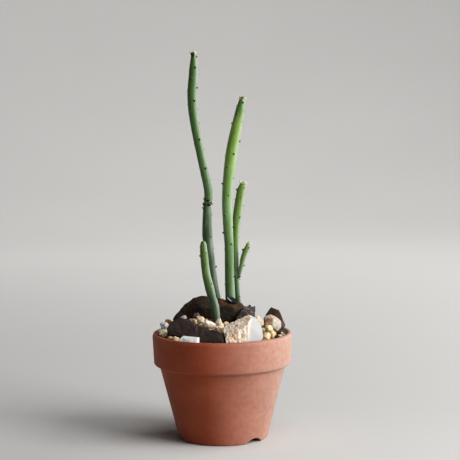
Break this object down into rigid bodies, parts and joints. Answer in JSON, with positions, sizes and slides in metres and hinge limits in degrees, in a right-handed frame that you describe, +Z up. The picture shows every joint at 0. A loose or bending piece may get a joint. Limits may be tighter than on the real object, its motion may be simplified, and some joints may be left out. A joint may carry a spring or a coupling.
{
  "type": "potted euphorbia oncoclada",
  "caption": "Small unglazed clay pot of jointed, stick-like green succulent stems, dressed with tan gravel, rocks and pebbles, standing on its flat foot.",
  "frame": {"origin": "on the ground under the pot's axis, at the centre of the bounding box's bottom", "axes": "+Z up along the pot's axis, -Y towards the front of the arrangement, +X to its right"},
  "size_m": [0.09, 0.09, 0.2484],
  "materials": {
    "terracotta": "matte unglazed fired clay",
    "net_plastic": "matte moulded net",
    "stem_blue_green": "smooth waxy skin with a pale bloom",
    "stem_yellow_green": "smooth waxy skin with a pale bloom on older joints",
    "rock_brown": "rough matte broken stone",
    "rock_grey": "rough matte broken stone",
    "rock_slab": "matte water-worn stone",
    "rock_pale": "matte stone with rust specks",
    "rock_purple_brown": "matte broken stone",
    "stone_cream": "matte stone with brown stains",
    "chip_white": "satin stone",
    "chip_black": "glossy stone with a pale vein",
    "pebble_grey": "matte stone",
    "pebble_mauve": "matte stone",
    "pebble_cream": "matte stone",
    "pebble_pink": "matte stone",
    "pebble_orange": "matte stone",
    "pebble_tan": "matte stone",
    "gravel_tan": "matte mixed gravel",
    "potting_soil": "loose dark crumb"
  },
  "bodies": {
    "root": {"pot": "terracotta", "drain_net": "net_plastic", "stem_tall_left": "stem_blue_green", "stem_short_left": "stem_yellow_green", "stem_tall_middle": "stem_yellow_green", "stem_thin_right": "stem_yellow_green", "rock_back_brown": "rock_brown", "rock_back_grey": "rock_grey", "rock_front_slab": "rock_slab", "rock_front_pale": "rock_pale", "rock_right_dark": "rock_purple_brown", "stone_right_cream": "stone_cream", "chip_front_white": "chip_white", "chip_dark_glossy": "chip_black", "pebble_grey_left": "pebble_grey", "pebble_mauve": "pebble_mauve", "pebble_cream_back": "pebble_cream", "pebble_brown_rind": "pebble_tan", "pebble_pink_long": "pebble_pink", "pebble_pink_small": "pebble_pink", "pebble_stem_foot": "pebble_cream", "pebble_grey_white": "pebble_grey", "pebble_orange": "pebble_orange", "pebble_tan_left": "pebble_tan", "pebble_tan_front": "pebble_tan", "pebble_yellow_upper": "pebble_tan", "pebble_yellow_right": "pebble_tan", "pebble_yellow_front": "pebble_tan", "pebble_cream_sliver": "pebble_cream", "gravel": "gravel_tan", "soil": "potting_soil"}
  },
  "joints": []
}
